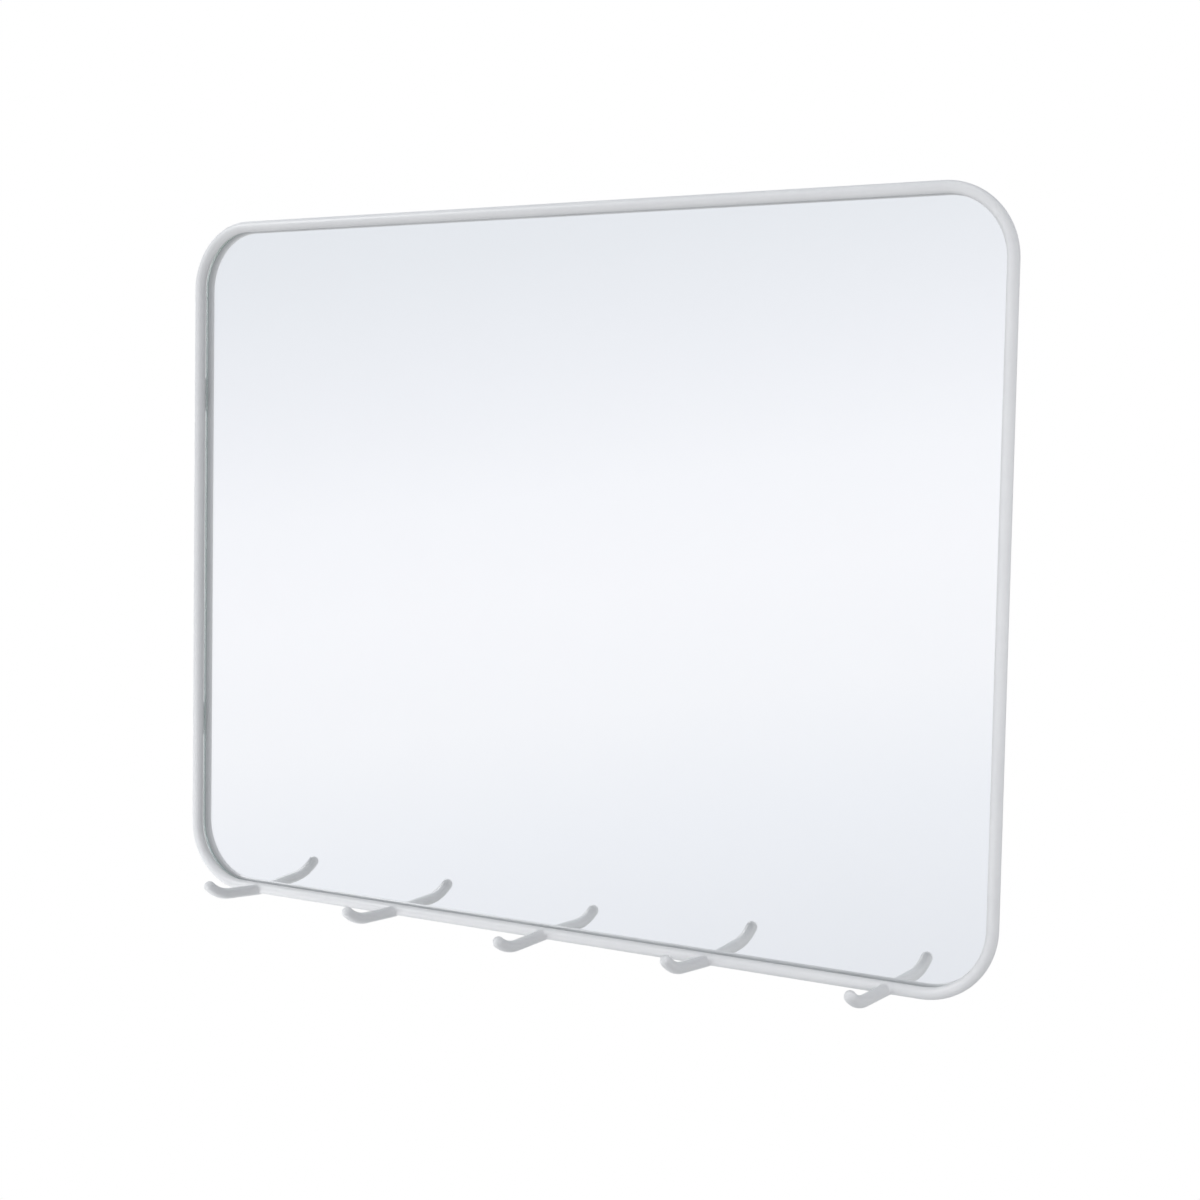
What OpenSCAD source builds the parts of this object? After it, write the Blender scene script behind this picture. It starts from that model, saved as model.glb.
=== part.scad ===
// Wall mirror in a bent tube frame, with a row of coat hooks welded to the bottom rail.
// Millimetres. X runs to the right, Y into the wall and Z up. The wall is the plane Y = 0, and
// the origin lies midway between the round ends of the two keyholes that hang on wall screws.

/* [Frame] */
// Width of the frame over its tube
frame_w = 787; // [750:1:1200]
// Height of the frame over its tube
frame_h = 610; // [480:1:900]
// Outer radius of the frame's corners
corner_r = 60; // [30:1:76]
// Outside diameter of the frame tube
tube_d = 9.5; // [8:0.5:14]
// Wall thickness of the frame tube
tube_wall = 1.2; // [0.8:0.1:2]

/* [Hooks] */
// Number of hooks on the bottom rail
hook_count = 5; // [1:1:5]
// Distance from one hook to the next
hook_pitch = 155; // [60:1:155]
// How far the middle of the row of hooks lies right of the frame's middle
hook_row_x = -4; // [-5:0.5:5]
// Diameter of the hook rod
hook_d = 9.5; // [6:0.5:9.5]
// Straight rod, from the middle of the tube to the bend
hook_straight = 41; // [25:1:80]
// Radius of the bend, at the middle of the rod
hook_bend_r = 46; // [20:1:60]
// Angle that the rod bends up through
hook_bend = 35; // [15:1:75]
// How far the middle of the rod lies below the middle of the tube
hook_drop = 1.5; // [0:0.1:2]
// Upward lean of each hook from left to right, as welded
hook_lean = [4.7, 2.1, -1.5, 3.9, 0.4]; // [-3:0.1:6]

/* [Mirror and board] */
// Thickness of the mirror glass
glass_t = 3; // [3:0.5:6]
// How far glass and board stop short of the middle line of the tube
glass_inset = 2.5; // [2.2:0.1:3.5]
// Gap between the tube and the edge of the glass
glass_gap = 0.2; // [0.1:0.1:0.6]
// Thickness of the foam tape between glass and board
tape_t = 1; // [0.5:0.1:2]
// Width of each strip of foam tape
tape_w = 25; // [10:1:50]
// Number of strips of foam tape
tape_count = 4; // [2:1:6]
// Distance from the strips of tape to the edges of the glass
tape_margin = 45; // [15:1:120]
// Thickness of the backing board
board_t = 6; // [5:0.5:10]

/* [Retaining tabs] */
// Thickness of the tab steel
tab_t = 1.5; // [1:0.1:1.5]
// Width of a tab along its rail
tab_w = 30; // [20:1:50]
// Reach of a tab over the back of the board
tab_reach = 22; // [18:1:40]
// Corner radius of a tab
tab_corner_r = 4; // [2:0.5:8]
// Clearance between a tab and the edges of glass and board
tab_gap = 0.3; // [0.1:0.1:0.5]
// Distance from the outer face of a tab to its screw
tab_screw_in = 14; // [9:1:14]
// Distance from the sides of the frame to the outer tabs of the top and bottom rails
tab_margin_x = 120; // [101:1:330]
// Distance from the top and bottom of the frame to the tabs of the side rails
tab_margin_z = 155; // [101:1:200]

/* [Keyhole hangers] */
// Distance between the two wall screws
hanger_spacing = 406; // [120:1:500]
// Distance from the top of the frame down to the wall screws
hanger_drop = 62; // [50:1:120]
// Distance from the wall to the back of the board
wall_gap = 4.5; // [4.2:0.1:8]
// Thickness of the hanger steel
hanger_t = 1.2; // [0.8:0.1:1.2]
// Overall width of a hanger
hanger_w = 56; // [52:1:80]
// Overall height of a hanger
hanger_h = 28; // [26:1:40]
// Corner radius of a hanger
hanger_corner_r = 5; // [1:0.5:8]
// Width of the raised middle of a hanger
hanger_pan_w = 30; // [24:1:30]
// Diameter of the round end of the keyhole
keyhole_d = 10; // [9:0.5:12]
// Width of the slot of the keyhole
keyhole_slot_w = 5; // [4:0.5:6]
// Distance from the middle of the round end up to the screw's seat
keyhole_travel = 10; // [8:0.5:11]

/* [Screws and bumpers] */
// Diameter of the pan head of a screw
head_d = 6.6; // [5:0.2:8]
// Height of the pan head of a screw
head_h = 2.2; // [1.6:0.1:2.6]
// Rounding of the pan head's edge
head_round = 1.2; // [0.4:0.1:1.4]
// Diameter of a screw's shank
shank_d = 3; // [2:0.1:3.5]
// Depth that a shank reaches into the board
shank_grip = 4.6; // [3:0.1:4.8]
// Clearance round a shank in steel, and past its end in the board
shank_gap = 0.2; // [0.1:0.05:0.2]
// Width of the arms of a screw's cross recess
recess_w = 0.9; // [0.5:0.1:1.2]
// Length over the arms of a screw's cross recess
recess_l = 3.6; // [2:0.1:4]
// Depth of a screw's cross recess
recess_depth = 1.3; // [0.6:0.1:1.4]
// Diameter of a wall bumper
bumper_d = 16; // [10:1:30]
// Rounding of a wall bumper's edge
bumper_round = 1.5; // [0.5:0.5:3]
// Distance from the middle of a bumper to the edges of the board
bumper_margin = 42; // [30:1:60]

/* [Hidden] */
$fn = 64;
eps = 0.01;

// The tube's middle line, and the outline of glass and board inside it.
tube_r = tube_d / 2;
mid_w = frame_w - tube_d;
mid_h = frame_h - tube_d;
mid_r = corner_r - tube_r;
pane_w = mid_w - 2 * glass_inset;
pane_h = mid_h - 2 * glass_inset;
pane_r = mid_r - glass_inset;

// The layers, from the wall forwards, and the height of the frame's middle.
board_back = -wall_gap;
board_front = board_back - board_t;
glass_back = board_front - tape_t;
glass_front = glass_back - glass_t;
tube_y = glass_front - glass_gap - sqrt(tube_r ^ 2 - glass_inset ^ 2);
frame_z = hanger_drop - frame_h / 2;
rail_z = frame_z - mid_h / 2;

// Each tab stands on the tube's middle line, as [x, z, turn]. Its outer face is tab_face out.
tab_face = tab_gap + tab_t - glass_inset;
tab_x = frame_w / 2 - tab_margin_x;
tab_z = frame_h / 2 - tab_margin_z;
tab_places = [
    for (turn = [0, 180], x = [-tab_x, 0, tab_x]) [x, cos(turn) * mid_h / 2, turn],
    for (turn = [-90, 90], z = [tab_z, -tab_z]) [sin(turn) * mid_w / 2, z, turn]
];

// Middle of a hanger over the wall screws, and its own screws either side of that.
hanger_mid_z = (keyhole_travel + keyhole_slot_w / 2 - keyhole_d / 2) / 2;
hanger_screw_x = (hanger_w + hanger_pan_w) / 4;
hanger_sides = [["left", -1], ["right", 1]];

bumper_x = pane_w / 2 - bumper_margin;
bumper_z = pane_h / 2 - bumper_margin;
bumper_corners = [
    ["top_left", -1, 1],
    ["top_right", 1, 1],
    ["bottom_left", -1, -1],
    ["bottom_right", 1, -1]
];

// Rectangle with round corners, centred.
module rounded_rect(w, h, r) {
    square([w - 2 * r, h], center = true);
    square([w, h - 2 * r], center = true);
    for (x = [-1, 1], y = [-1, 1])
        translate([x * (w / 2 - r), y * (h / 2 - r)])
            circle(r = r);
}

// Upright sheet from y_front back to y_back. Its outline's X and Y become X and Z.
module sheet(y_front, y_back) {
    translate([0, y_back, 0])
        rotate([90, 0, 0])
            linear_extrude(height = y_back - y_front)
                children();
}

// Solid loop of radius r along the tube's middle line.
module loop(r) {
    straight_w = mid_w - 2 * mid_r;
    straight_h = mid_h - 2 * mid_r;
    translate([0, tube_y, frame_z])
        rotate([90, 0, 0])
            for (turn = [0:90:270])
                rotate(turn) {
                    along_x = turn % 180 == 0;
                    side = (along_x ? straight_h : straight_w) / 2 + mid_r;
                    length = along_x ? straight_w : straight_h;
                    translate([0, side, 0])
                        rotate([0, 90, 0])
                            cylinder(r = r, h = length, center = true);
                    translate([length / 2, side - mid_r, 0])
                        rotate_extrude(angle = 90)
                            translate([mid_r, 0])
                                circle(r = r);
                }
}

module frame_tube() {
    color("whitesmoke")
        difference() {
            loop(tube_r);
            loop(tube_r - tube_wall);
        }
}

// Quarter of a disc, in the corner where X and Y are both above zero.
module quarter(r) {
    intersection() {
        circle(r = r);
        square(r);
    }
}

// A hook's rod from the middle of the rail forwards, level at its root, with a domed end.
module hook_rod() {
    rotate([90, 0, 0])
        cylinder(d = hook_d, h = hook_straight);
    translate([0, -hook_straight, hook_bend_r])
        rotate([180, 90, 0])
            rotate_extrude(angle = hook_bend)
                translate([hook_bend_r, 0])
                    circle(d = hook_d);
    translate([0, -hook_straight - hook_bend_r * sin(hook_bend), hook_bend_r * (1 - cos(hook_bend))])
        rotate([90 - hook_bend, 0, 0])
            rotate_extrude()
                quarter(hook_d / 2);
}

// Hook number i from the left, with its root cut to the round of the rail.
module hook(i) {
    color("whitesmoke")
        translate([hook_row_x + (i - (hook_count + 1) / 2) * hook_pitch, tube_y, rail_z])
            difference() {
                translate([0, 0, -hook_drop])
                    rotate([-hook_lean[i - 1], 0, 0])
                        hook_rod();
                rotate([0, 90, 0])
                    cylinder(r = tube_r, h = 2 * hook_d, center = true);
            }
}

module mirror_pane() {
    color("lightsteelblue")
        translate([0, 0, frame_z])
            sheet(glass_front, glass_back)
                rounded_rect(pane_w, pane_h, pane_r);
}

// Strip of tape number i from the left.
module foam_tape(i) {
    span = pane_w - 2 * tape_margin - tape_w;
    color("dimgray")
        translate([span * ((i - 1) / (tape_count - 1) - 0.5), 0, frame_z])
            sheet(glass_back, board_front)
                square([tape_w, pane_h - 2 * tape_margin], center = true);
}

module backing_board() {
    pilot_depth = shank_grip + shank_gap;
    color("tan")
        difference() {
            translate([0, 0, frame_z])
                sheet(board_front, board_back)
                    rounded_rect(pane_w, pane_h, pane_r);
            at_tab_screws(board_back)
                bore(shank_d, -pilot_depth, eps);
            at_hanger_screws(board_back)
                bore(shank_d, -pilot_depth, eps);
        }
}

// Round solid along Y, from y_front back to y_back.
module bore(d, y_front, y_back) {
    translate([0, y_back, 0])
        rotate([90, 0, 0])
            cylinder(d = d, h = y_back - y_front);
}

module at_tab(place) {
    translate([place[0], 0, frame_z + place[1]])
        rotate([0, place[2], 0])
            children();
}

module at_tab_screws(y) {
    for (place = tab_places)
        at_tab(place)
            translate([0, y, tab_face - tab_screw_in])
                children();
}

module at_hanger_screws(y) {
    for (side = hanger_sides, s = [-1, 1])
        translate([side[1] * hanger_spacing / 2 + s * hanger_screw_x, y, hanger_mid_z])
            children();
}

// A tab's section, with X towards the wall and Y out from the tube's middle line.
module tab_section() {
    inner = tab_face - tab_t;
    translate([tube_y, inner])
        square([board_back - tube_y, tab_t]);
    translate([board_back, inner])
        quarter(tab_t);
    translate([board_back, tab_face - tab_reach])
        square([tab_t, tab_reach - tab_t]);
}

// A tab's outline from behind, with X along the rail and Y out from the tube's middle line.
module tab_outline() {
    end = tab_face - tab_reach;
    translate([-tab_w / 2, end + tab_corner_r])
        square([tab_w, tab_reach - tab_corner_r]);
    translate([tab_corner_r - tab_w / 2, end])
        square([tab_w - 2 * tab_corner_r, tab_corner_r]);
    for (s = [-1, 1])
        translate([s * (tab_w / 2 - tab_corner_r), end + tab_corner_r])
            circle(r = tab_corner_r);
}

// Tab number i, from its weld on the tube round the board's edge to its screw.
module retaining_tab(i) {
    color("whitesmoke")
        at_tab(tab_places[i - 1])
            difference() {
                intersection() {
                    rotate([90, 0, 90])
                        linear_extrude(height = tab_w, center = true)
                            tab_section();
                    sheet(tube_y, board_back + tab_t)
                        tab_outline();
                }
                translate([0, tube_y, 0])
                    rotate([0, 90, 0])
                        cylinder(r = tube_r, h = 2 * tab_w, center = true);
                translate([0, 0, tab_face - tab_screw_in])
                    bore(shank_d + 2 * shank_gap, board_back - eps, board_back + tab_t + eps);
            }
}

// Pan-head screw along Y, through steel of thickness steel_t that ends at Y = 0.
module pan_screw(steel_t) {
    rotate([-90, 0, 0])
        difference() {
            union() {
                rotate_extrude() {
                    square([head_d / 2 - head_round, head_h]);
                    square([head_d / 2, head_h - head_round]);
                    translate([head_d / 2 - head_round, head_h - head_round])
                        quarter(head_round);
                }
                translate([0, 0, -steel_t - shank_grip])
                    cylinder(d = shank_d, h = steel_t + shank_grip);
            }
            for (turn = [0, 90])
                rotate(turn)
                    translate([-recess_l / 2, -recess_w / 2, head_h - recess_depth])
                        cube([recess_l, recess_w, recess_depth + eps]);
        }
}

module tab_screws() {
    color("silver")
        at_tab_screws(board_back + tab_t)
            pan_screw(tab_t);
}

// A hanger's section from above: flanges on the board, and a pan that meets the wall.
module hanger_section() {
    web_x = hanger_pan_w / 2 - hanger_t;
    translate([-hanger_pan_w / 2, -hanger_t])
        square([hanger_pan_w, hanger_t]);
    for (s = [0, 1])
        mirror([s, 0]) {
            translate([web_x, board_back])
                square([hanger_t, wall_gap]);
            translate([web_x, board_back])
                square([hanger_w / 2 - web_x, hanger_t]);
        }
}

// Keyhole at the origin, with its slot upwards.
module keyhole() {
    through = [-hanger_t - eps, eps];
    bore(keyhole_d, through[0], through[1]);
    translate([0, 0, keyhole_travel])
        bore(keyhole_slot_w, through[0], through[1]);
    sheet(through[0], through[1])
        translate([-keyhole_slot_w / 2, 0])
            square([keyhole_slot_w, keyhole_travel]);
}

// Hanger of one side, where -1 is left and 1 is right.
module keyhole_hanger(side) {
    color("silver")
        translate([side * hanger_spacing / 2, 0, 0])
            difference() {
                translate([0, 0, hanger_mid_z])
                    intersection() {
                        linear_extrude(height = hanger_h, center = true)
                            hanger_section();
                        sheet(board_back, 0)
                            rounded_rect(hanger_w, hanger_h, hanger_corner_r);
                    }
                keyhole();
                for (s = [-1, 1])
                    translate([s * hanger_screw_x, board_back, hanger_mid_z])
                        bore(shank_d + 2 * shank_gap, -eps, hanger_t + eps);
            }
}

module hanger_screws() {
    color("silver")
        at_hanger_screws(board_back + hanger_t)
            pan_screw(hanger_t);
}

// Rubber bumper in one corner of the board, by the signs of its X and Z.
module bumper(sx, sz) {
    rest_r = bumper_d / 2 - bumper_round;
    color("dimgray")
        translate([sx * bumper_x, board_back, frame_z + sz * bumper_z])
            rotate([-90, 0, 0])
                rotate_extrude() {
                    square([rest_r, wall_gap]);
                    square([bumper_d / 2, wall_gap - bumper_round]);
                    translate([rest_r, wall_gap - bumper_round])
                        quarter(bumper_round);
                }
}

frame_tube();
for (i = [1:hook_count])
    hook(i);
mirror_pane();
for (i = [1:tape_count])
    foam_tape(i);
backing_board();
for (i = [1:len(tab_places)])
    retaining_tab(i);
tab_screws();
for (side = hanger_sides)
    keyhole_hanger(side[1]);
hanger_screws();
for (corner = bumper_corners)
    bumper(corner[1], corner[2]);
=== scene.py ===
from math import cos, pi, radians, sin

import bmesh
import bpy
import numpy as np
from mathutils import Matrix, Vector


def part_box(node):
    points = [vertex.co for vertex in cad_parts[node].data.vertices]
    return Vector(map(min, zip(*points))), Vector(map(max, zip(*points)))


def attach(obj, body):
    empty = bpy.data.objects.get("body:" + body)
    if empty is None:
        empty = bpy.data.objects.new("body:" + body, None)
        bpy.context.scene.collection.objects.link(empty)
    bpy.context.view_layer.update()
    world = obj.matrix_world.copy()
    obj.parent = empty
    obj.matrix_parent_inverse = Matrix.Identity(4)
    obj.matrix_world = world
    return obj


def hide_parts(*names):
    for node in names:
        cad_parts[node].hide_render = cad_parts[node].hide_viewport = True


# all in metres: X to the right, Y into the wall, which is the plane Y = 0, and Z up
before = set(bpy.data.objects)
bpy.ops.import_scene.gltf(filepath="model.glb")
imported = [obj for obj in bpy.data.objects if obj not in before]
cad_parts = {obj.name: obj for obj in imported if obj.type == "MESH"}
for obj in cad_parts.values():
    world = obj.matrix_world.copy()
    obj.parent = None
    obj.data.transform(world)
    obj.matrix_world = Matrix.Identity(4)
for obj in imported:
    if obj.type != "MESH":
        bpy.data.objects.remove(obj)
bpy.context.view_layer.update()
scene = bpy.context.scene
print("frame loaded:", len(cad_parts), "nodes")

cameraSetup = {
    "place": (0.9073, -1.4461, -0.1522),
    "yaw": 31.128,            # degrees to the left of +Y
    "pitch": 3.739,           # degrees down
    "roll": 1.062,            # degrees
    "lens": 61.39,            # millimetres, as the next
    "sensorWidth": 36,
}


# across, upright and ahead are the camera's own axes, in the room
def makeCamera(setup):
    yaw, pitch, roll = (radians(setup[key]) for key in ("yaw", "pitch", "roll"))
    ahead = Vector((-sin(yaw) * cos(pitch), cos(yaw) * cos(pitch), -sin(pitch)))
    right = Vector((cos(yaw), sin(yaw), 0))
    up = right.cross(ahead)
    across = cos(roll) * right + sin(roll) * up
    upright = cos(roll) * up - sin(roll) * right
    data = bpy.data.cameras.new("productCamera")
    data.lens = setup["lens"]
    data.sensor_width = setup["sensorWidth"]
    camera = bpy.data.objects.new("productCamera", data)
    turn = Matrix((across, upright, -ahead)).transposed().to_4x4()
    camera.matrix_world = Matrix.Translation(setup["place"]) @ turn
    scene.collection.objects.link(camera)
    scene.camera = camera


makeCamera(cameraSetup)
scene.view_settings.view_transform = "Standard"
print("camera placed")


# points is n by 3, and faces is a list of index arrays, one for each number of corners
def meshPiece(name, points, faces, material,
              sharpAngle=35, extraMaterials=(), faceSlots=None):
    mesh = bpy.data.meshes.new(name)
    mesh.vertices.add(len(points))
    mesh.vertices.foreach_set("co", np.asarray(points, np.float32).ravel())
    corners = np.concatenate([f.ravel() for f in faces])
    sizes = np.concatenate([np.full(len(f), f.shape[1]) for f in faces])
    mesh.loops.add(len(corners))
    mesh.loops.foreach_set("vertex_index", corners.astype(np.int32))
    mesh.polygons.add(len(sizes))
    mesh.polygons.foreach_set("loop_start", (np.cumsum(sizes) - sizes).astype(np.int32))
    for surface in (material, *extraMaterials):
        mesh.materials.append(surface)
    if faceSlots is not None:
        mesh.polygons.foreach_set("material_index", np.asarray(faceSlots, np.int32))
    mesh.update(calc_edges=True)
    mesh.validate()
    return dressPiece(mesh, sharpAngle)


# smooth apart from edges sharper than sharpAngle, and carried by the one body there is
def dressPiece(mesh, sharpAngle):
    mesh.polygons.foreach_set("use_smooth", np.ones(len(mesh.polygons), bool))
    mesh.set_sharp_from_angle(angle=radians(sharpAngle))
    piece = bpy.data.objects.new(mesh.name, mesh)
    scene.collection.objects.link(piece)
    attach(piece, "root")
    return piece


# quads of a grid whose columns close on themselves, and whose rows do too if closeRows
def gridFaces(rows, columns, closeRows=False, start=0):
    i = np.arange(rows if closeRows else rows - 1)[:, None] * columns
    j = np.arange(columns)[None, :]
    nextRow = (i + columns) % (rows * columns)
    nextColumn = (j + 1) % columns
    quads = np.stack([i + j, i + nextColumn, nextRow + nextColumn, nextRow + j], axis=-1)
    return quads.reshape(-1, 4) + start


# triangles from a ring of points to a pole, turned over if flip
def fanFaces(ring, pole, flip):
    after = np.roll(ring, -1)
    first, second = (after, ring) if flip else (ring, after)
    return np.stack([first, second, np.full_like(ring, pole)], axis=-1)


# rings joined into a closed skin, with a pole at each end
def poledSkin(rings, startPole, endPole, start=0):
    rows, columns = rings.shape[:2]
    points = np.concatenate([rings.reshape(-1, 3), [startPole, endPole]])
    first = np.arange(columns) + start
    last = first + (rows - 1) * columns
    pole = start + rows * columns
    triangles = np.concatenate([fanFaces(first, pole, True), fanFaces(last, pole + 1, False)])
    return points, gridFaces(rows, columns, start=start), triangles


# centre + radius * (cos(a) * A + sin(a) * B) for each place on a path, where A x B points
# along it
def sweptRings(centres, axisA, axisB, radii, sides):
    a = np.arange(sides)[None, :, None] * 2 * pi / sides
    circle = np.cos(a) * axisA[:, None, :] + np.sin(a) * axisB[:, None, :]
    return centres[:, None, :] + np.broadcast_to(radii, len(centres))[:, None, None] * circle


# (radius, depth) turned about Y: x = radius * cos(a), z = radius * sin(a), y = depth
def turnedRings(profile, sides):
    a = np.arange(sides) * 2 * pi / sides
    radius, depth = np.asarray(profile, float).T[..., None]
    return np.stack([radius * np.cos(a), depth + 0 * a, radius * np.sin(a)], axis=-1)


# rounded rectangle, anticlockwise from the front: in each corner middle + radius *
# (cos(turn), sin(turn)), then points at the given distances along the straight after it
# (top, left, bottom, right)
def roundOutline(width, height, radius, steps, stops=((), (), (), ())):
    places, outward = [], []
    for quarter, stop in enumerate(stops):
        turn = quarter * pi / 2 + np.linspace(0, pi / 2, steps + 1)
        way = np.stack([np.cos(turn), np.sin(turn)], axis=-1)
        middle = np.sign(way.sum(axis=0)) * (width / 2 - radius, height / 2 - radius)
        arc = middle + radius * way
        along = np.array([-way[-1, 1], way[-1, 0]])
        straight = arc[-1] + np.reshape(stop, (-1, 1)) * along
        places += [arc, straight]
        outward += [way, np.repeat(way[-1:], len(straight), axis=0)]
    return np.concatenate(places), np.concatenate(outward)


softening = {
    "mergeWithin": 1e-6,
    "flatWithin": 0.5,        # degrees between faces that become one
    "sharpAngle": 30,         # degrees from which an edge is rounded over
    "segments": 2,
}


# merged copy of a CAD node's mesh, with its hard edges rounded over
def softCopy(node, name, material, width):
    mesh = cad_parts[node].data.copy()
    mesh.name = name
    mesh.materials.clear()
    mesh.materials.append(material)
    work = bmesh.new()
    work.from_mesh(mesh)
    bmesh.ops.remove_doubles(work, verts=work.verts, dist=softening["mergeWithin"])
    flat = radians(softening["flatWithin"])
    bmesh.ops.dissolve_limit(work, angle_limit=flat, verts=work.verts, edges=work.edges)
    for face in work.faces:
        face.material_index = 0
    work.to_mesh(mesh)
    work.free()
    piece = dressPiece(mesh, softening["sharpAngle"])
    bevel = piece.modifiers.new("softEdges", "BEVEL")
    bevel.width = width
    bevel.segments = softening["segments"]
    bevel.limit_method = "ANGLE"
    bevel.angle_limit = radians(softening["sharpAngle"])
    bevel.harden_normals = True
    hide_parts(node)


# a new node; each setting is a property of the node or the value of one of its sockets
def addNode(tree, kind, **settings):
    node = tree.nodes.new(kind)
    for key, value in settings.items():
        if hasattr(node, key):
            setattr(node, key, value)
        else:
            node.inputs[key].default_value = value
    return node


# puts a value or a link on a socket
def feed(tree, socket, value):
    if isinstance(value, bpy.types.NodeSocket):
        tree.links.new(value, socket)
    else:
        socket.default_value = value


def mathNode(tree, operation, first, second=0.0, clamp=False):
    node = addNode(tree, "ShaderNodeMath", operation=operation, use_clamp=clamp)
    feed(tree, node.inputs[0], first)
    feed(tree, node.inputs[1], second)
    return node.outputs[0]


def rgba(colour):
    return (*colour, 1.0)


# from one colour to another by a factor; sockets 6, 7 and 2 are the node's colour ones
def mixColours(tree, factor, first, second):
    node = addNode(tree, "ShaderNodeMix", data_type="RGBA")
    feed(tree, node.inputs[0], factor)
    feed(tree, node.inputs[6], first)
    feed(tree, node.inputs[7], second)
    return node.outputs[2]


# value carried from one range to another in a straight line, and held inside it
def spread(tree, value, low, high, toLow, toHigh):
    node = addNode(tree, "ShaderNodeMapRange")
    for socket, number in zip(node.inputs, (value, low, high, toLow, toHigh)):
        feed(tree, socket, number)
    return node.outputs[0]


# noise on Object coordinates; stretch gives the grains a direction, and turn tips it about Y
def grain(tree, size, detail=2.0, roughness=0.5, stretch=(1, 1, 1), turn=0.0):
    place = addNode(tree, "ShaderNodeTexCoord").outputs["Object"]
    squeeze = addNode(tree, "ShaderNodeMapping", vector_type="TEXTURE",
                      Scale=stretch, Rotation=(0, turn, 0))
    noise = addNode(tree, "ShaderNodeTexNoise",
                    Scale=1 / size, Detail=detail, Roughness=roughness)
    tree.links.new(place, squeeze.inputs["Vector"])
    tree.links.new(squeeze.outputs[0], noise.inputs["Vector"])
    return noise.outputs["Fac"]


noiseRange = (0.3, 0.7)       # nearly all of a noise lies between these


# a node group that takes and gives plain numbers
def newGroup(name, inputs, outputs):
    group = bpy.data.node_groups.new(name, "ShaderNodeTree")
    newSocket = group.interface.new_socket
    for label, value in inputs.items():
        newSocket(label, in_out="INPUT", socket_type="NodeSocketFloat").default_value = value
    for label in outputs:
        newSocket(label, in_out="OUTPUT", socket_type="NodeSocketFloat")
    return group, group.nodes.new("NodeGroupInput"), group.nodes.new("NodeGroupOutput")


unevenLook = {
    "broad": {"size": 0.06, "detail": 3.0},
    "broadShare": 0.7,
    "fine": {"size": 0.006},
    "fineShare": 0.3,
}


# cloudy unevenness: Low + (High - Low) * n, where n is the sum of broad and fine noise by their
# shares, with the noise range carried to 0 and 1
def makeUnevenness(look):
    group, given, result = newGroup("unevenness", {"Low": 0.0, "High": 1.0}, ["Value"])
    broad = mathNode(group, "MULTIPLY", grain(group, **look["broad"]), look["broadShare"])
    fine = mathNode(group, "MULTIPLY", grain(group, **look["fine"]), look["fineShare"])
    both = mathNode(group, "ADD", broad, fine)
    value = spread(group, both, *noiseRange, given.outputs["Low"], given.outputs["High"])
    group.links.new(value, result.inputs["Value"])
    return group


scratchLook = {
    "lengthwise": {"size": 0.0012, "detail": 1.0, "roughness": 0.4, "stretch": (14, 1, 1)},
    "upright": {"size": 0.0015, "detail": 1.0, "roughness": 0.4, "stretch": (1, 1, 11)},
    "patchSize": 0.03,        # of the patches that the scratches gather in
    "patchRange": (0.52, 0.62),
    "middle": 0.5,            # of the noise
}


# sparse fine scratches: narrow bands where a stretched noise passes its middle value
def makeScratches(look):
    group, given, result = newGroup("scratches", {"Width": 0.01}, ["Mask"])
    marks = []
    for direction in ("lengthwise", "upright"):
        offset = mathNode(group, "SUBTRACT", grain(group, **look[direction]), look["middle"])
        away = mathNode(group, "ABSOLUTE", offset)
        marks.append(mathNode(group, "LESS_THAN", away, given.outputs["Width"]))
    where = spread(group, grain(group, look["patchSize"]), *look["patchRange"], 0.0, 1.0)
    mask = mathNode(group, "MULTIPLY", mathNode(group, "MAXIMUM", *marks), where, clamp=True)
    group.links.new(mask, result.inputs["Mask"])
    return group


unevenness = makeUnevenness(unevenLook)
scratches = makeScratches(scratchLook)


def useGroup(tree, group, **settings):
    node = tree.nodes.new("ShaderNodeGroup")
    node.node_tree = group
    for key, value in settings.items():
        node.inputs[key].default_value = value
    return node.outputs[0]


# one colour clouded with another
def clouded(tree, first, second):
    return mixColours(tree, useGroup(tree, unevenness), rgba(first), rgba(second))


def newMaterial(name, **settings):
    material = bpy.data.materials.new(name)
    material.use_nodes = True
    tree = material.node_tree
    shader = tree.nodes["Principled BSDF"]
    for key, value in settings.items():
        shader.inputs[key].default_value = value
    return material, tree, shader


def addBump(tree, shader, height, depth):
    bump = addNode(tree, "ShaderNodeBump", Distance=depth, Strength=1.0)
    tree.links.new(height, bump.inputs["Height"])
    tree.links.new(bump.outputs[0], shader.inputs["Normal"])


coatLook = {
    "light": (0.83, 0.835, 0.84),
    "dull": (0.79, 0.795, 0.805),
    "roughness": (0.38, 0.48),
    "gloss": {"Coat Weight": 0.12, "Coat Roughness": 0.2},
    "peel": {"size": 0.0014, "detail": 1.0},       # the ripple that powder coating dries with
    "finePeel": {"size": 0.00028, "detail": 1.0},
    "fineHeight": 0.2,        # of the fine ripple, beside the coarse one
    "peelDepth": 0.000012,
}


# powder coat: white with a faint clouding, and an orange peel of coarse and fine ripples
def makePowderCoat(look):
    material, tree, shader = newMaterial("powderCoat", **look["gloss"])
    low, high = look["roughness"]
    feed(tree, shader.inputs["Base Color"], clouded(tree, look["dull"], look["light"]))
    feed(tree, shader.inputs["Roughness"], useGroup(tree, unevenness, Low=low, High=high))
    fine = mathNode(tree, "MULTIPLY", grain(tree, **look["finePeel"]), look["fineHeight"])
    ripples = mathNode(tree, "ADD", grain(tree, **look["peel"]), fine)
    addBump(tree, shader, ripples, look["peelDepth"])
    return material


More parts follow.
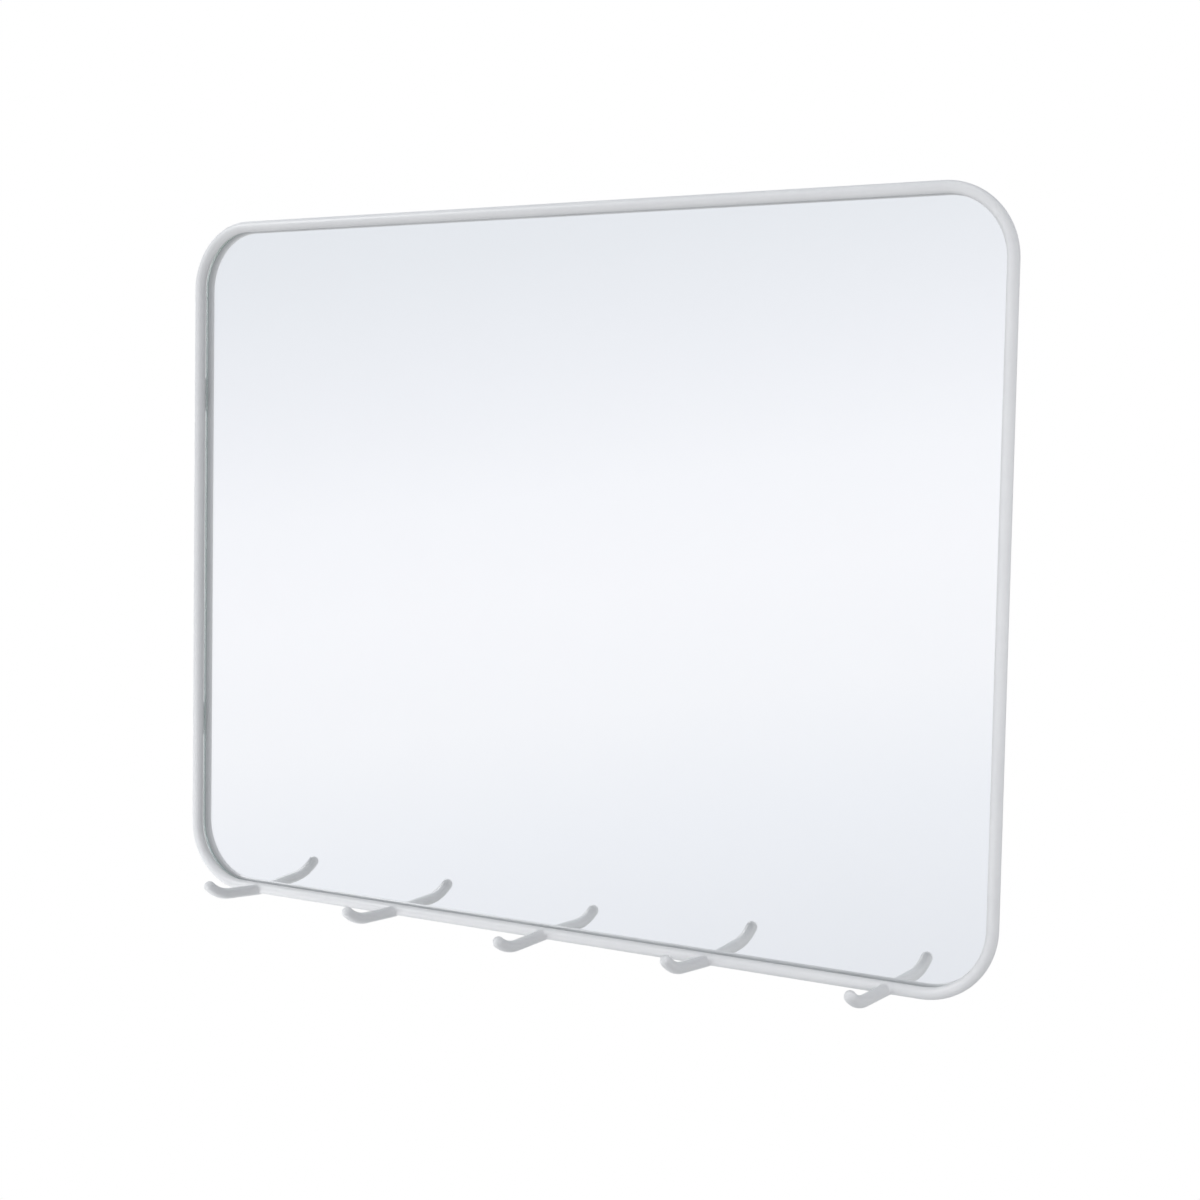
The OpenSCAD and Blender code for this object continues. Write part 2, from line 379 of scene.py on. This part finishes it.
mirrorLook = {
    "silver": (0.98, 0.985, 0.985),
    "dullSilver": (0.9751, 0.980075, 0.980075),
    "glass": (0.995, 1.0, 0.997),
    "refraction": 1.52,
    "wiping": {"size": 0.035, "detail": 3.0, "roughness": 0.55, "stretch": (3, 1, 1)},
    "wipingRange": (0.5, 0.8),
    "smudge": 0.03,           # the most that wiping leaves on the face
    "smudgeRoughness": 0.25,
    "edge": (0.50, 0.74, 0.66),
    "paleEdge": (0.80, 0.896, 0.864),
    "edgeClear": 0.6,         # share of light that the ground edge lets in
    "edgeRoughness": (0.3, 0.5),
    "edgeSpeckle": 0.0006,
    "edgeDepth": 0.00003,
}


# the silver, with clouds too faint to be seen as such
def makeSilver(look):
    material, tree, shader = newMaterial("silverBacking", Metallic=1.0, Roughness=0.0)
    feed(tree, shader.inputs["Base Color"], clouded(tree, look["dullSilver"], look["silver"]))
    return material


# clear float glass, with a trace of wiping marks in its coat
def makeGlass(look):
    material, tree, shader = newMaterial("floatGlass", **{
        "Base Color": rgba(look["glass"]),
        "Roughness": 0.0,
        "IOR": look["refraction"],
        "Transmission Weight": 1.0,
        "Coat Roughness": look["smudgeRoughness"],
    })
    film = spread(tree, grain(tree, **look["wiping"]), *look["wipingRange"], 0.0, look["smudge"])
    feed(tree, shader.inputs["Coat Weight"], film)
    return material


# ground edge of the glass: frosted, and green from the long way through it
def makeGroundEdge(look):
    material, tree, shader = newMaterial("groundGlassEdge", **{
        "IOR": look["refraction"],
        "Transmission Weight": look["edgeClear"],
    })
    speckle = grain(tree, look["edgeSpeckle"])
    colour = mixColours(tree, speckle, rgba(look["edge"]), rgba(look["paleEdge"]))
    rough = spread(tree, speckle, *noiseRange, *look["edgeRoughness"])
    feed(tree, shader.inputs["Base Color"], colour)
    feed(tree, shader.inputs["Roughness"], rough)
    addBump(tree, shader, speckle, look["edgeDepth"])
    return material


paintLook = {
    "grey": (0.20, 0.21, 0.22),
    "pale": (0.27, 0.28, 0.29),
    "roughness": 0.6,
    "streaks": {"size": 0.004, "detail": 3.0, "stretch": (30, 1, 1)},
    "streakDepth": 0.00002,
}


# curtain-coated paint that seals the silver: grey, with faint streaks the way it was drawn
def makeBackPaint(look):
    material, tree, shader = newMaterial("mirrorPaint", Roughness=look["roughness"])
    streaks = grain(tree, **look["streaks"])
    colour = mixColours(tree, streaks, rgba(look["grey"]), rgba(look["pale"]))
    feed(tree, shader.inputs["Base Color"], colour)
    addBump(tree, shader, streaks, look["streakDepth"])
    return material


boardLook = {
    "tones": (                # tone of the fibres, from 0 to 1, and its colour
        (0.36, (0.20, 0.125, 0.07)),
        (0.50, (0.36, 0.245, 0.15)),
        (0.66, (0.52, 0.40, 0.27)),
    ),
    "fibre": {"size": 0.0007, "detail": 3.0, "roughness": 0.6, "stretch": (6, 1, 1)},
    "fibreTurns": (0.3, 1.25, 2.4),
    "clouding": 0.06,         # in tone, up and down
    "roughness": (0.62, 0.8),
    "fibreDepth": 0.00006,
}


# colour ramp through (place, colour) pairs, with places between 0 and 1
def colourRamp(tree, value, stops):
    ramp = addNode(tree, "ShaderNodeValToRGB")
    feed(tree, ramp.inputs["Fac"], value)
    elements = ramp.color_ramp.elements
    for element, (place, colour) in zip(elements, (stops[0], stops[-1])):
        element.position, element.color = place, rgba(colour)
    for place, colour in stops[1:-1]:
        elements.new(place).color = rgba(colour)
    return ramp.outputs[0]


# pressed fibre board: the mean of three layers of fibres that lie different ways, over a
# cloudy brown
def makeFibreBoard(look):
    material, tree, shader = newMaterial("fibreBoard")
    fibres = 0.0
    for turn in look["fibreTurns"]:
        layer = grain(tree, turn=turn, **look["fibre"])
        part = mathNode(tree, "MULTIPLY", layer, 1 / len(look["fibreTurns"]))
        fibres = mathNode(tree, "ADD", fibres, part)
    cloud = useGroup(tree, unevenness, Low=-look["clouding"], High=look["clouding"])
    tone = mathNode(tree, "ADD", fibres, cloud)
    rough = spread(tree, fibres, *noiseRange, *look["roughness"])
    feed(tree, shader.inputs["Base Color"], colourRamp(tree, tone, look["tones"]))
    feed(tree, shader.inputs["Roughness"], rough)
    addBump(tree, shader, fibres, look["fibreDepth"])
    return material


zincLook = {
    "bright": (0.72, 0.72, 0.69),
    "grey": (0.49, 0.52, 0.56),
    "scratch": (0.8, 0.81, 0.82),
    "scratchWidth": 0.012,
    "rolling": {"size": 0.0004, "stretch": (40, 1, 1)},
    "roughness": (0.28, 0.42),
    "rollingDepth": 0.00001,
}


# zinc plate on pressed steel: bluish grey clouded with a faint yellow, rolling lines and a
# few scratches
def makeZinc(look):
    material, tree, shader = newMaterial("zincPlate", Metallic=1.0)
    plate = clouded(tree, look["grey"], look["bright"])
    marks = useGroup(tree, scratches, Width=look["scratchWidth"])
    rolled = grain(tree, **look["rolling"])
    rough = spread(tree, rolled, *noiseRange, *look["roughness"])
    feed(tree, shader.inputs["Base Color"], mixColours(tree, marks, plate, rgba(look["scratch"])))
    feed(tree, shader.inputs["Roughness"], rough)
    addBump(tree, shader, rolled, look["rollingDepth"])
    return material


rubberLook = {
    "black": (0.018, 0.018, 0.019),
    "dusty": (0.05, 0.05, 0.052),
    "roughness": (0.55, 0.72),
    "shine": 0.35,
    "grainSize": 0.0004,
    "grainDepth": 0.00004,
}


# moulded rubber: near black, dustier in clouds, with a fine moulded grain
def makeRubber(look):
    material, tree, shader = newMaterial("bumperRubber", **{"Specular IOR Level": look["shine"]})
    low, high = look["roughness"]
    feed(tree, shader.inputs["Base Color"], clouded(tree, look["black"], look["dusty"]))
    feed(tree, shader.inputs["Roughness"], useGroup(tree, unevenness, Low=low, High=high))
    addBump(tree, shader, grain(tree, look["grainSize"]), look["grainDepth"])
    return material


foamLook = {
    "cell": 0.0005,
    # painted shade: the dark colour given to the middle of each cell, where its hollow is
    "paintedCellShade": (0.05, 0.05, 0.055),
    "wall": (0.16, 0.16, 0.17),
    "roughness": 0.9,
    "cellDepth": 0.0001,
}


# foam tape: round cells, grey at their walls and dark in the middle, the dark being painted shade
# in the hollow of each cell
def makeFoam(look):
    material, tree, shader = newMaterial("tapeFoam", Roughness=look["roughness"])
    place = addNode(tree, "ShaderNodeTexCoord").outputs["Object"]
    cells = addNode(tree, "ShaderNodeTexVoronoi", Scale=1 / look["cell"])
    tree.links.new(place, cells.inputs["Vector"])
    outwards = cells.outputs["Distance"]
    colour = mixColours(tree, outwards, rgba(look["paintedCellShade"]), rgba(look["wall"]))
    feed(tree, shader.inputs["Base Color"], colour)
    addBump(tree, shader, outwards, look["cellDepth"])
    return material


powderCoat = makePowderCoat(coatLook)
silverBacking = makeSilver(mirrorLook)
floatGlass = makeGlass(mirrorLook)
groundEdge = makeGroundEdge(mirrorLook)
backPaint = makeBackPaint(paintLook)
fibreBoard = makeFibreBoard(boardLook)
zincPlate = makeZinc(zincLook)
bumperRubber = makeRubber(rubberLook)
tapeFoam = makeFoam(foamLook)
print("materials made")

tubeLow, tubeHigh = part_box("frame_tube")
tubeRadius = (tubeHigh.y - tubeLow.y) / 2
tubeY = (tubeHigh.y + tubeLow.y) / 2
midWidth = tubeHigh.x - tubeLow.x - 2 * tubeRadius    # to the middle of the tube
midHeight = tubeHigh.z - tubeLow.z - 2 * tubeRadius
midZ = (tubeHigh.z + tubeLow.z) / 2
railZ = tubeLow.z + tubeRadius                        # middle of the bottom rail
hookNumbers = range(1, 6)
tabNumbers = range(1, 11)
tapeNumbers = range(1, 5)

loopShape = {
    "cornerRadius": 0.060,    # to the outside of the tube
    "sides": 56,
    "cornerSteps": 40,
    "seamAt": 0.0775,         # X of the dressed butt weld in the bottom rail
    "seamHeight": 0.00012,
    "seamWidth": 0.0016,
    "seamReach": 3,           # how far its own rings go to each side, in seam widths
    "seamRings": 25,
    "bottomFacing": -0.999,   # a place that faces lower than this is on the bottom rail
}


# a circle carried round the tube's middle line; at the seam its radius grows by
# height * exp(-(distance / width) ** 2)
def makeFrameLoop(shape):
    bend = shape["cornerRadius"] - tubeRadius
    across, upright = midWidth - 2 * bend, midHeight - 2 * bend
    reach = np.linspace(-shape["seamReach"], shape["seamReach"], shape["seamRings"])
    seam = across / 2 + shape["seamAt"] + reach * shape["seamWidth"]
    thirds = np.array([1, 2]) / 3
    stops = (thirds * across, thirds * upright, seam, thirds * upright)
    outline, outward = roundOutline(midWidth, midHeight, bend, shape["cornerSteps"], stops)
    count = len(outline)
    centres = np.stack([outline[:, 0], np.full(count, tubeY), outline[:, 1] + midZ], axis=-1)
    axisA = np.stack([outward[:, 0], np.zeros(count), outward[:, 1]], axis=-1)
    axisB = np.tile([0.0, 1.0, 0.0], (count, 1))
    away = (outline[:, 0] - shape["seamAt"]) / shape["seamWidth"]
    onBottom = outward[:, 1] < shape["bottomFacing"]
    radii = tubeRadius + shape["seamHeight"] * np.exp(-away ** 2) * onBottom
    rings = sweptRings(centres, axisA, axisB, radii, shape["sides"])
    faces = gridFaces(count, shape["sides"], closeRows=True)
    piece = meshPiece("frameLoop", rings.reshape(-1, 3), [faces], powderCoat)
    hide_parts("frame_tube")


makeFrameLoop(loopShape)
print("frame loop made")

prongShape = {
    "radius": 0.00475,
    "straight": 0.041,        # from the middle of the tube to the bend
    "straightRings": (0, 0.004, 0.008, 0.02),   # from the middle of the tube, too
    "bendRadius": 0.046,
    "bend": 35,               # degrees
    "drop": 0.0015,           # below the middle of the tube
    "leans": (4.7, 2.1, -1.5, 3.9, 0.4),   # degrees up, from left to right
    "sides": 44,
    "bendSteps": 22,
    "domeSteps": 12,
}


# X of the middle of a hook's rod
def hookMiddle(number):
    low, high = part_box(f"hook_{number}")
    return (low.x + high.x) / 2


# a circle of radius r carried along a straight and then an arc of radius R, with
# d = straight + R * sin(t) and z = R * (1 - cos(t)), the whole turned up by its lean; at the
# tip its radius falls as r * cos(b) while its middle moves on by r * sin(b), which makes a dome
def makeProng(number, shape):
    lean = radians(shape["leans"][number - 1])
    r, big = shape["radius"], shape["bendRadius"]
    t = radians(shape["bend"]) * np.linspace(0, 1, shape["bendSteps"] + 1)
    b = np.linspace(0, pi / 2, shape["domeSteps"] + 1)[1:-1]
    run = np.array(shape["straightRings"])
    arc = np.stack([shape["straight"] + big * np.sin(t), big * (1 - np.cos(t))], axis=-1)
    tipWay = np.array([cos(t[-1]), sin(t[-1])])
    dome = arc[-1] + r * np.sin(b)[:, None] * tipWay
    tip = arc[-1] + r * tipWay
    flat = np.concatenate([np.stack([run, 0 * run], axis=-1), arc, dome, [tip]])
    angle = lean + np.concatenate([0 * run, t, np.full(len(b) + 1, t[-1])])
    radii = np.concatenate([np.full(len(run) + len(t), r), r * np.cos(b)])
    x = hookMiddle(number)
    y = tubeY - flat[:, 0] * cos(lean) + flat[:, 1] * sin(lean)
    z = railZ - shape["drop"] + flat[:, 0] * sin(lean) + flat[:, 1] * cos(lean)
    centres = np.stack([np.full(len(flat), x), y, z], axis=-1)
    axisA = np.stack([0 * angle, np.sin(angle), np.cos(angle)], axis=-1)
    axisB = np.tile([-1.0, 0.0, 0.0], (len(flat), 1))
    rings = sweptRings(centres[:-1], axisA[:-1], axisB[:-1], radii, shape["sides"])
    points, quads, fans = poledSkin(rings, centres[0], centres[-1])
    piece = meshPiece(f"hookProng{number}", points, [quads, fans], powderCoat)
    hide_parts(f"hook_{number}")


for number in hookNumbers:
    makeProng(number, prongShape)
print("hook prongs made")

weldShape = {
    "fillet": 0.0022,         # how far the dressed weld of a hook reaches along rod and rail
    "filletSides": 120,
    "filletSteps": 8,
    "filletRipples": 9,
    "rippleHeight": 0.05,     # of the ripples and of the swell, as shares of the reach
    "swell": 0.04,
    "edgeSunk": 0.00003,      # how far the edges of the weld lie under rod and rail
    "sunk": 0.0004,           # how far its back lies under them
    "tabBead": 0.0010,
    "tabBeadLength": 0.020,
    "tabBeadEnd": 0.995,      # the last ring, as a share of half the length
    "tabBeadRings": 61,
    "tabRipples": 15,
    "tabRippleHeight": 0.07,
    "tabBeadSides": 14,
    "sharpAngle": 60,
}


# the weld follows the curve P where rod meets rail: x = r * sin(a), z = r * cos(a) - drop and
# y = -sqrt(R * R - z * z), with z held above the rail's underside; its face is the hollow curve
# (1 - v)^2 * A + 2 * v * (1 - v) * P + v^2 * B from A on the rod to B on the rail
def filletRings(number, shape, prong):
    a = np.arange(shape["filletSides"]) * 2 * pi / shape["filletSides"]
    lean = radians(prong["leans"][number - 1])
    z = np.maximum(prong["radius"] * np.cos(a) - prong["drop"], -tubeRadius)
    y = -np.sqrt(np.clip(tubeRadius ** 2 - z ** 2, 0, None))
    path = np.stack([prong["radius"] * np.sin(a), y, z], axis=-1)
    railOut = np.stack([0 * a, y, z], axis=-1) / tubeRadius
    rodOut = np.stack([np.sin(a), 0 * a, np.cos(a)], axis=-1)
    along = np.roll(path, -1, axis=0) - np.roll(path, 1, axis=0)
    away = np.cross(railOut, along)     # lies on the rail's skin, and then points off the rod
    outside = rodOut + (0, 0.5, 0)
    away *= np.sign((away * outside).sum(axis=1, keepdims=True))
    away /= np.linalg.norm(away, axis=1, keepdims=True)
    ripples = shape["rippleHeight"] * np.cos(shape["filletRipples"] * a + number)
    swell = shape["swell"] * np.sin(2 * a + 3 * number)
    reach = (shape["fillet"] * (1 + ripples + swell))[:, None]
    rodWay = np.array([0, -cos(lean), sin(lean)])
    onRod = path + reach * rodWay - shape["edgeSunk"] * rodOut
    onRail = path + reach * away
    height = np.linalg.norm(onRail[:, 1:], axis=1, keepdims=True)
    onRail[:, 1:] *= (tubeRadius - shape["edgeSunk"]) / height
    v = np.linspace(0, 1, shape["filletSteps"] + 1)[None, :, None]
    paintedCellShade = 2 * v * (1 - v) * path[:, None]
    face = (1 - v) ** 2 * onRod[:, None] + paintedCellShade + v ** 2 * onRail[:, None]
    sunk = shape["sunk"]
    back = [onRail - sunk * railOut, path - sunk * (railOut + rodOut), onRod - sunk * rodOut]
    rings = np.concatenate([face, np.stack(back, axis=1)], axis=1)
    return rings + (hookMiddle(number), tubeY, railZ)


# the welds of all the hooks, in one mesh
def makeHookWelds(shape, prong):
    every = np.stack([filletRings(number, shape, prong) for number in hookNumbers])
    rows, columns = every.shape[1:3]
    faces = np.concatenate([
        gridFaces(rows, columns, True, start=k * rows * columns) for k in range(len(every))])
    meshPiece("hookWelds", every.reshape(-1, 3), [faces], powderCoat,
              sharpAngle=shape["sharpAngle"])


# a straight bead along each tab, thinner at its ends: radius * sqrt(1 - u ** 6) * ripple, with
# u from -1 to 1 along it and ripple = 1 + height * cos(ripples * pi * u)
def makeTabBeads(shape, tabs):
    u = np.linspace(-shape["tabBeadEnd"], shape["tabBeadEnd"], shape["tabBeadRings"])
    ripple = 1 + shape["tabRippleHeight"] * np.cos(shape["tabRipples"] * pi * u)
    radii = shape["tabBead"] * np.sqrt(1 - u ** 6) * ripple
    wall = np.array([0.0, 1.0, 0.0])
    every, quads, fans = [], [], []
    start = 0
    for x, z, turn in tabs:
        across = np.array([cos(turn), 0, -sin(turn)])
        out = np.array([sin(turn), 0, cos(turn)])
        root = np.array([x, tubeY + tubeRadius, z]) - shape["sunk"] * out
        path = root + shape["tabBeadLength"] / 2 * u[:, None] * across
        axisA = np.tile(wall, (len(u), 1))
        axisB = np.tile(np.cross(across, wall), (len(u), 1))
        rings = sweptRings(path, axisA, axisB, radii, shape["tabBeadSides"])
        points, quad, fan = poledSkin(rings, path[0], path[-1], start)
        every.append(points)
        quads.append(quad)
        fans.append(fan)
        start += len(points)
    faces = [np.concatenate(quads), np.concatenate(fans)]
    meshPiece("tabWelds", np.concatenate(every), faces, powderCoat,
              sharpAngle=shape["sharpAngle"])


# where each tab stands on the tube's middle line, and how it is turned about Y: the first six
# are on the top and bottom rails, and the others on the sides
def tabPlaces():
    places = []
    for number in tabNumbers:
        low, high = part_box(f"retaining_tab_{number}")
        middle = (low + high) / 2
        if number <= 6:
            side = 1 if middle.z > midZ else -1
            places.append((middle.x, midZ + side * midHeight / 2, 0 if side > 0 else pi))
        else:
            side = 1 if middle.x > 0 else -1
            places.append((side * midWidth / 2, middle.z, side * pi / 2))
    return places


makeHookWelds(weldShape, prongShape)
makeTabBeads(weldShape, tabPlaces())
print("weld beads made")

paneShape = {
    "cornerRadius": 0.05275,
    "cornerSteps": 36,
    "arris": 0.0004,          # the seamed corner round each face
    "paint": 0.00010,         # silver and paint, taken from the thickness of the pane
    "paintGap": 0.00002,      # between the paint and what lies on either side of it
}


# the outline carried from back to front through the given (inset, depth) pairs, each ring
# being outline - inset * outward, and capped
def plateMesh(width, height, radius, steps, levels):
    outline, outward = roundOutline(width, height, radius, steps)
    count, rings = len(outline), []
    for inset, y in levels:
        flat = outline - inset * outward
        rings.append(np.stack([flat[:, 0], np.full(count, y), flat[:, 1] + midZ], axis=-1))
    band = gridFaces(len(levels), count)
    caps = np.array([np.arange(count)[::-1], (len(levels) - 1) * count + np.arange(count)])
    return np.concatenate(rings), band, caps


# clear glass with a ground rim and silver on its back face, and a thin plate of paint behind
def makePane(shape):
    low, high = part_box("mirror_pane")
    size = (high.x - low.x, high.z - low.z, shape["cornerRadius"], shape["cornerSteps"])
    arris, gap, silver = shape["arris"], shape["paintGap"], high.y - shape["paint"]
    levels = ((arris, silver), (0, silver - arris), (0, low.y + arris), (arris, low.y))
    points, band, caps = plateMesh(*size, levels)
    slots = np.concatenate([np.full(len(band), 1), [2, 0]])   # ground rim, silver, clear face
    piece = meshPiece(
        "mirrorPane", points, [band, caps], floatGlass,
        extraMaterials=(groundEdge, silverBacking), faceSlots=slots)
    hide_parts("mirror_pane")
    points, band, caps = plateMesh(*size, ((arris, high.y - gap), (arris, silver + gap)))
    meshPiece("mirrorBackPaint", points, [band, caps], backPaint)


makePane(paneShape)
print("mirror pane made")

edgeWidths = {
    "board": 0.0004,
    "tab": 0.00025,
    "hanger": 0.00018,
    "screw": 0.00010,
}


# finishes, and edges rounded over by the given widths, for all that lies behind the glass
def dressBack(widths):
    softCopy("backing_board", "backingBoard", fibreBoard, widths["board"])
    for number in tabNumbers:
        softCopy(f"retaining_tab_{number}", f"retainingTab{number}",
                 powderCoat, widths["tab"])
    for side in ("left", "right"):
        softCopy(f"keyhole_hanger_{side}", f"keyholeHanger{side.title()}",
                 zincPlate, widths["hanger"])
    softCopy("tab_screws", "tabScrews", zincPlate, widths["screw"])
    softCopy("hanger_screws", "hangerScrews", zincPlate, widths["screw"])
    for number in tapeNumbers:
        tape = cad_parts[f"foam_tape_{number}"]
        tape.data.materials.clear()
        tape.data.materials.append(tapeFoam)


dressBack(edgeWidths)
print("board, tabs, hangers, screws and tape dressed")

bumperShape = {
    "rounding": 0.0015,
    "rim": 0.0050,            # radius at which the dish ends and the flat ring starts
    "dish": 0.0005,
    "dishRings": 10,
    "roundRings": 9,
    "sides": 56,
    "sharpAngle": 50,
}


# a profile turned about Y: dish * (1 + cos(pi * r / rim)) / 2 deep in the middle, a flat rim,
# a quarter round edge and a straight wall down to the board
def makeBumper(corner, shape):
    low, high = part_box(f"bumper_{corner}")
    radius, rounding = (high.x - low.x) / 2, shape["rounding"]
    r = np.linspace(1 / shape["dishRings"], 1, shape["dishRings"]) * shape["rim"]
    dish = np.stack([r, -shape["dish"] * (1 + np.cos(pi * r / shape["rim"])) / 2], axis=-1)
    a = np.linspace(pi / 2, 0, shape["roundRings"])
    edge = np.stack([radius + rounding * (np.cos(a) - 1), rounding * (np.sin(a) - 1)], axis=-1)
    profile = np.concatenate([dish, edge, [[radius, low.y - high.y]]])
    place = np.array([(low.x + high.x) / 2, high.y, (low.z + high.z) / 2])
    rings = turnedRings(profile, shape["sides"]) + place
    poles = place - (0, shape["dish"], 0), place + (0, low.y - high.y, 0)
    points, quads, fans = poledSkin(rings, *poles)
    name = "bumper" + corner.title().replace("_", "")
    piece = meshPiece(name, points, [quads, fans], bumperRubber,
                      sharpAngle=shape["sharpAngle"])
    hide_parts(f"bumper_{corner}")


for corner in ("top_left", "top_right", "bottom_left", "bottom_right"):
    makeBumper(corner, bumperShape)
print("bumpers made")

studioLook = {
    "white": (1.0, 1.0, 1.0),
    "ambient": 0.42,          # what the world gives to matt surfaces
    "tilt": -0.175,           # how the pale band leans from left to right
    "band": (                 # by height of view: floor, blue-grey, a white band, blue-grey
        (-0.44, (1.000, 1.000, 1.000)),
        (-0.30, (0.698, 0.723, 0.771)),
        (-0.17, (0.808, 0.825, 0.873)),
        (-0.09, (0.873, 0.889, 0.937)),
        (-0.03, (0.933, 0.939, 0.976)),
        (0.03, (0.954, 0.956, 0.994)),
        (0.08, (0.939, 0.945, 0.986)),
        (0.14, (0.878, 0.890, 0.937)),
        (0.20, (0.820, 0.840, 0.885)),
        (0.45, (0.679, 0.713, 0.766)),
    ),
    "aim": (0, -0.02, midZ),  # just in front of the middle of the mirror
    "lamps": (                # name, place, width, watts, and whether gloss shows it
        ("keyLamp", (-1.9, -1.5, 1.3), 1.2, 28.4, True),
        ("topLamp", (0.2, -0.6, 1.7), 1.2, 8.0, True),
        ("lowLamp", (-0.6, -0.6, -1.1), 0.7, 4.9, False),
        ("rightLamp", (0.95, -0.55, -0.25), 0.4, 2.7, False),
    ),
    "floorHeight": -1.6,
    "floorRadius": 2.2,
    "floorSides": 96,
    "floorFade": (0.45, 0.97),   # where it starts and ends its fade to white, in radii
    "floorColour": (0.80, 0.80, 0.80),
    "floorLift": 0.35,        # what is added to its brightness for camera, gloss and glass
}


# 1 for the rays by which metal and glass see the studio
def mirroredRays(tree, ray):
    glossy, through = ray.outputs["Is Glossy Ray"], ray.outputs["Is Transmission Ray"]
    return mathNode(tree, "MAXIMUM", glossy, through)


# white to the camera, and to all else the band, by height of view + tilt * X; it has its full
# strength where gloss or glass shows it, and the ambient level for matt surfaces
def makeWorld(look):
    world = bpy.data.worlds.new("studio")
    world.use_nodes = True
    scene.world = world
    tree = world.node_tree
    shader = tree.nodes["Background"]
    way = addNode(tree, "ShaderNodeSeparateXYZ")
    tree.links.new(addNode(tree, "ShaderNodeTexCoord").outputs["Generated"], way.inputs[0])
    lean = mathNode(tree, "MULTIPLY", way.outputs["X"], look["tilt"])
    height = mathNode(tree, "ADD", way.outputs["Z"], lean)
    low, high = look["band"][0][0], look["band"][-1][0]
    stops = [((place - low) / (high - low), colour) for place, colour in look["band"]]
    band = colourRamp(tree, spread(tree, height, low, high, 0.0, 1.0), stops)
    ray = addNode(tree, "ShaderNodeLightPath")
    toCamera = ray.outputs["Is Camera Ray"]
    unscattered = mathNode(tree, "LESS_THAN", ray.outputs["Diffuse Depth"], 0.5)   # depth 0
    shown = mathNode(tree, "MULTIPLY", mirroredRays(tree, ray), unscattered)
    seen = mathNode(tree, "MAXIMUM", toCamera, shown)
    feed(tree, shader.inputs["Color"], mixColours(tree, toCamera, band, rgba(look["white"])))
    feed(tree, shader.inputs["Strength"], spread(tree, seen, 0.0, 1.0, look["ambient"], 1.0))


# a square lamp turned to the mirror; the camera and the silver never show it, and a lamp level
# with the mirror or below it isn't shown by the face of the glass either
def makeLamp(target, name, place, width, watts, inGloss):
    data = bpy.data.lights.new(name, "AREA")
    data.shape = "SQUARE"
    data.size = width
    data.energy = watts
    lamp = bpy.data.objects.new(name, data)
    turn = (Vector(target) - Vector(place)).to_track_quat("-Z", "Y").to_matrix().to_4x4()
    lamp.matrix_world = Matrix.Translation(place) @ turn
    lamp.visible_camera = False
    lamp.visible_transmission = False
    lamp.visible_glossy = inGloss
    scene.collection.objects.link(lamp)


# matt grey that keeps the shadow, lifted for camera, gloss and glass, and for them fading to
# plain white towards the rim by distance from the middle
def makeFloorPaint(look):
    material = bpy.data.materials.new("paleFloor")
    material.use_nodes = True
    tree = material.node_tree
    tree.nodes.clear()
    distance = addNode(tree, "ShaderNodeVectorMath", operation="LENGTH")
    flat = addNode(tree, "ShaderNodeMapping", Scale=(1, 1, 0))
    place = addNode(tree, "ShaderNodeTexCoord").outputs["Object"]
    tree.links.new(place, flat.inputs["Vector"])
    tree.links.new(flat.outputs[0], distance.inputs[0])
    low, high = (share * look["floorRadius"] for share in look["floorFade"])
    rim = spread(tree, distance.outputs["Value"], low, high, 0.0, 1.0)
    ray = addNode(tree, "ShaderNodeLightPath")
    seen = mathNode(tree, "MAXIMUM", ray.outputs["Is Camera Ray"], mirroredRays(tree, ray))
    matt = addNode(tree, "ShaderNodeBsdfDiffuse", Color=rgba(look["floorColour"]))
    lift = addNode(tree, "ShaderNodeEmission", Color=rgba(look["white"]))
    feed(tree, lift.inputs["Strength"], mathNode(tree, "MULTIPLY", seen, look["floorLift"]))
    both = addNode(tree, "ShaderNodeAddShader")
    tree.links.new(matt.outputs[0], both.inputs[0])
    tree.links.new(lift.outputs[0], both.inputs[1])
    white = addNode(tree, "ShaderNodeEmission", Color=rgba(look["white"]), Strength=1.0)
    mix = addNode(tree, "ShaderNodeMixShader")
    feed(tree, mix.inputs[0], mathNode(tree, "MULTIPLY", rim, seen))
    tree.links.new(both.outputs[0], mix.inputs[1])
    tree.links.new(white.outputs[0], mix.inputs[2])
    surface = addNode(tree, "ShaderNodeOutputMaterial").inputs["Surface"]
    tree.links.new(mix.outputs[0], surface)
    return material


# a round floor: x = radius * cos(a), y = radius * sin(a)
def makeFloor(look):
    sides, radius = look["floorSides"], look["floorRadius"]
    a = np.arange(sides) * 2 * pi / sides
    height = np.full(sides, look["floorHeight"])
    points = np.stack([radius * np.cos(a), radius * np.sin(a), height], axis=-1)
    mesh = bpy.data.meshes.new("studioFloor")
    mesh.from_pydata(points.tolist(), [], [list(range(sides))])
    mesh.materials.append(makeFloorPaint(look))
    floor = bpy.data.objects.new("studioFloor", mesh)
    scene.collection.objects.link(floor)


makeWorld(studioLook)
for lamp in studioLook["lamps"]:
    makeLamp(studioLook["aim"], *lamp)
makeFloor(studioLook)

# light that the silver would throw back onto the tube comes through the pane instead
for name in ("mirrorPane", "mirrorBackPaint", "backingBoard"):
    bpy.data.objects[name].visible_diffuse = False
print("studio made")
